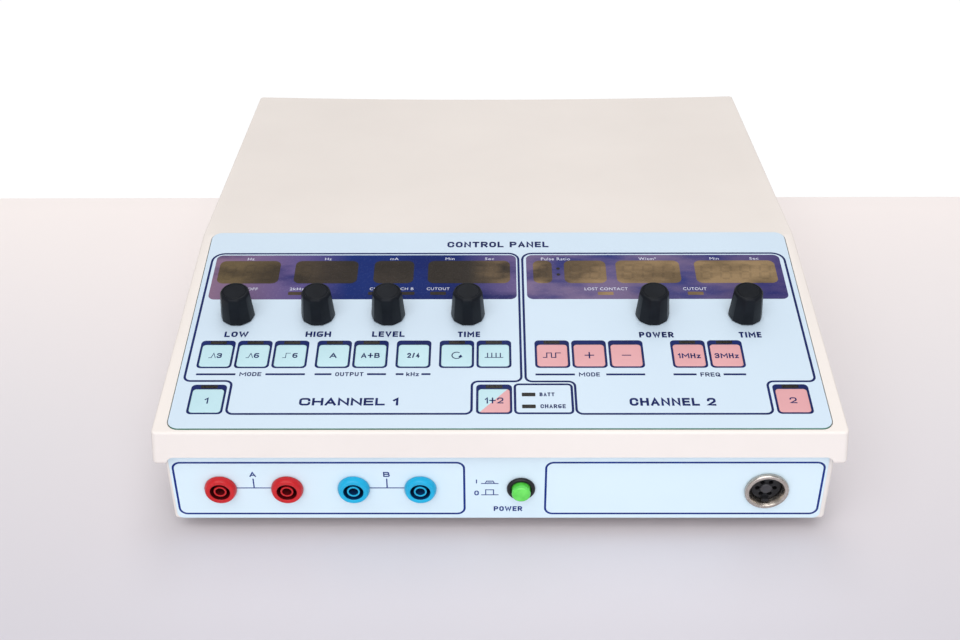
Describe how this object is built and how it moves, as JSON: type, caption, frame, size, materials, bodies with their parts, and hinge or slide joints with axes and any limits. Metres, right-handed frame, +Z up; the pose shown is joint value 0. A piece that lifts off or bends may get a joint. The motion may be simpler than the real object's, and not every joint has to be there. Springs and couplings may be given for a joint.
{
  "type": "ultrasound therapy device",
  "caption": "Sloping-deck therapy console with a printed membrane keypad, rotary controls, shrouded output sockets, push switch and applicator socket.",
  "frame": {"origin": "centre of the bounding box, at the underside of the feet", "axes": "+Z up, front panel facing -Y, +X to the right of a user facing the front panel"},
  "size_m": [0.3116, 0.3538, 0.0961],
  "materials": {
    "casing": "fine satin moulding texture",
    "overlay_film": "satin printed polyester film",
    "label_film": "satin printed polyester film",
    "membrane": "translucent film with snap domes",
    "key_aqua": "satin printed film",
    "key_pink": "satin printed film",
    "key_two_tone": "satin film printed in two colours across a diagonal",
    "knob_plastic": "semi-matt moulded",
    "steel": "plain zinc-plated",
    "socket_red": "gloss moulded",
    "socket_blue": "gloss moulded",
    "nickel_plate": "satin nickel",
    "black_plastic": "semi-matt moulded",
    "green_button": "translucent, gloss",
    "rubber": "moulded rubber",
    "circuit_board": "solder-resist coated",
    "battery_case": "moulded",
    "transformer": "tape-wound, varnished",
    "aluminium": "extruded, plain",
    "ribbon": "flat ribbon cable"
  },
  "bodies": {
    "console": {"top_cover": "casing", "base_tray": "casing", "control_overlay": "overlay_film", "front_label": "label_film", "switch_membrane": "membrane", "display_board": "circuit_board", "main_board": "circuit_board", "ultrasound_board": "circuit_board", "power_bezel": "black_plastic", "power_switch": "black_plastic", "din_insert": "black_plastic", "mains_inlet": "black_plastic", "din_shell": "nickel_plate", "mains_transformer": "transformer", "battery": "battery_case", "battery_bracket": "steel", "heat_sink": "aluminium", "ribbon_cable": "ribbon", "foot_front_left": "rubber", "case_screw_front_left": "steel", "foot_front_right": "rubber", "case_screw_front_right": "steel", "foot_rear_left": "rubber", "case_screw_rear_left": "steel", "foot_rear_right": "rubber", "case_screw_rear_right": "steel", "socket_a_left": "socket_red", "socket_a_right": "socket_red", "socket_b_left": "socket_blue", "socket_b_right": "socket_blue"},
    "lower_control": {"lower_knob": "knob_plastic", "lower_shaft": "steel"},
    "upper_control": {"upper_knob": "knob_plastic", "upper_shaft": "steel"},
    "current_control": {"current_knob": "knob_plastic", "current_shaft": "steel"},
    "left_time_control": {"left_time_knob": "knob_plastic", "left_time_shaft": "steel"},
    "power_control": {"power_knob": "knob_plastic", "power_shaft": "steel"},
    "right_time_control": {"right_time_knob": "knob_plastic", "right_time_shaft": "steel"},
    "key_wave_1": {"key_wave_1": "key_aqua"},
    "key_wave_2": {"key_wave_2": "key_aqua"},
    "key_wave_3": {"key_wave_3": "key_aqua"},
    "key_output_a": {"key_output_a": "key_aqua"},
    "key_output_ab": {"key_output_ab": "key_aqua"},
    "key_carrier": {"key_carrier": "key_aqua"},
    "key_vector": {"key_vector": "key_aqua"},
    "key_stimulate": {"key_stimulate": "key_aqua"},
    "key_pulse": {"key_pulse": "key_pink"},
    "key_plus": {"key_plus": "key_pink"},
    "key_minus": {"key_minus": "key_pink"},
    "key_frequency_1": {"key_frequency_1": "key_pink"},
    "key_frequency_3": {"key_frequency_3": "key_pink"},
    "key_left_mode": {"key_left_mode": "key_aqua"},
    "key_combined_mode": {"key_combined_mode": "key_two_tone"},
    "key_right_mode": {"key_right_mode": "key_pink"},
    "power_button": {"power_button": "green_button"},
    "fuse_drawer": {"fuse_drawer": "black_plastic"}
  },
  "joints": [
    {"name": "lower_turn", "type": "hinge", "parent": "console", "child": "lower_control", "pos_m": [-0.1264, -0.09896, 0.07938], "axis": [0, -0.2113, 0.9774], "continuous": true},
    {"name": "upper_turn", "type": "hinge", "parent": "console", "child": "upper_control", "pos_m": [-0.0874, -0.09896, 0.07938], "axis": [0, -0.2113, 0.9774], "continuous": true},
    {"name": "current_turn", "type": "hinge", "parent": "console", "child": "current_control", "pos_m": [-0.0534, -0.09896, 0.07938], "axis": [0, -0.2113, 0.9774], "continuous": true},
    {"name": "left_time_turn", "type": "hinge", "parent": "console", "child": "left_time_control", "pos_m": [-0.0148, -0.09896, 0.07938], "axis": [0, -0.2113, 0.9774], "continuous": true},
    {"name": "power_turn", "type": "hinge", "parent": "console", "child": "power_control", "pos_m": [0.0745, -0.09896, 0.07938], "axis": [0, -0.2113, 0.9774], "continuous": true},
    {"name": "right_time_turn", "type": "hinge", "parent": "console", "child": "right_time_control", "pos_m": [0.1194, -0.09896, 0.07938], "axis": [0, -0.2113, 0.9774], "continuous": true},
    {"name": "key_wave_1_press", "type": "slide", "parent": "console", "child": "key_wave_1", "axis": [0, 0.2113, -0.9774], "range_m": [0, 0.0004], "stiffness_N_per_m": 3500, "springref_m": -0.0003},
    {"name": "key_wave_2_press", "type": "slide", "parent": "console", "child": "key_wave_2", "axis": [0, 0.2113, -0.9774], "range_m": [0, 0.0004], "stiffness_N_per_m": 3500, "springref_m": -0.0003},
    {"name": "key_wave_3_press", "type": "slide", "parent": "console", "child": "key_wave_3", "axis": [0, 0.2113, -0.9774], "range_m": [0, 0.0004], "stiffness_N_per_m": 3500, "springref_m": -0.0003},
    {"name": "key_output_a_press", "type": "slide", "parent": "console", "child": "key_output_a", "axis": [0, 0.2113, -0.9774], "range_m": [0, 0.0004], "stiffness_N_per_m": 3500, "springref_m": -0.0003},
    {"name": "key_output_ab_press", "type": "slide", "parent": "console", "child": "key_output_ab", "axis": [0, 0.2113, -0.9774], "range_m": [0, 0.0004], "stiffness_N_per_m": 3500, "springref_m": -0.0003},
    {"name": "key_carrier_press", "type": "slide", "parent": "console", "child": "key_carrier", "axis": [0, 0.2113, -0.9774], "range_m": [0, 0.0004], "stiffness_N_per_m": 3500, "springref_m": -0.0003},
    {"name": "key_vector_press", "type": "slide", "parent": "console", "child": "key_vector", "axis": [0, 0.2113, -0.9774], "range_m": [0, 0.0004], "stiffness_N_per_m": 3500, "springref_m": -0.0003},
    {"name": "key_stimulate_press", "type": "slide", "parent": "console", "child": "key_stimulate", "axis": [0, 0.2113, -0.9774], "range_m": [0, 0.0004], "stiffness_N_per_m": 3500, "springref_m": -0.0003},
    {"name": "key_pulse_press", "type": "slide", "parent": "console", "child": "key_pulse", "axis": [0, 0.2113, -0.9774], "range_m": [0, 0.0004], "stiffness_N_per_m": 3500, "springref_m": -0.0003},
    {"name": "key_plus_press", "type": "slide", "parent": "console", "child": "key_plus", "axis": [0, 0.2113, -0.9774], "range_m": [0, 0.0004], "stiffness_N_per_m": 3500, "springref_m": -0.0003},
    {"name": "key_minus_press", "type": "slide", "parent": "console", "child": "key_minus", "axis": [0, 0.2113, -0.9774], "range_m": [0, 0.0004], "stiffness_N_per_m": 3500, "springref_m": -0.0003},
    {"name": "key_frequency_1_press", "type": "slide", "parent": "console", "child": "key_frequency_1", "axis": [0, 0.2113, -0.9774], "range_m": [0, 0.0004], "stiffness_N_per_m": 3500, "springref_m": -0.0003},
    {"name": "key_frequency_3_press", "type": "slide", "parent": "console", "child": "key_frequency_3", "axis": [0, 0.2113, -0.9774], "range_m": [0, 0.0004], "stiffness_N_per_m": 3500, "springref_m": -0.0003},
    {"name": "key_left_mode_press", "type": "slide", "parent": "console", "child": "key_left_mode", "axis": [0, 0.2113, -0.9774], "range_m": [0, 0.0004], "stiffness_N_per_m": 3500, "springref_m": -0.0003},
    {"name": "key_combined_mode_press", "type": "slide", "parent": "console", "child": "key_combined_mode", "axis": [0, 0.2113, -0.9774], "range_m": [0, 0.0004], "stiffness_N_per_m": 3500, "springref_m": -0.0003},
    {"name": "key_right_mode_press", "type": "slide", "parent": "console", "child": "key_right_mode", "axis": [0, 0.2113, -0.9774], "range_m": [0, 0.0004], "stiffness_N_per_m": 3500, "springref_m": -0.0003},
    {"name": "power_press", "type": "slide", "parent": "console", "child": "power_button", "axis": [0, 0.9925, 0.1219], "range_m": [0, 0.002], "stiffness_N_per_m": 900, "springref_m": -0.001},
    {"name": "fuse_drawer_pull", "type": "slide", "parent": "console", "child": "fuse_drawer", "axis": [0, 1, 0], "range_m": [0, 0.018]}
  ]
}
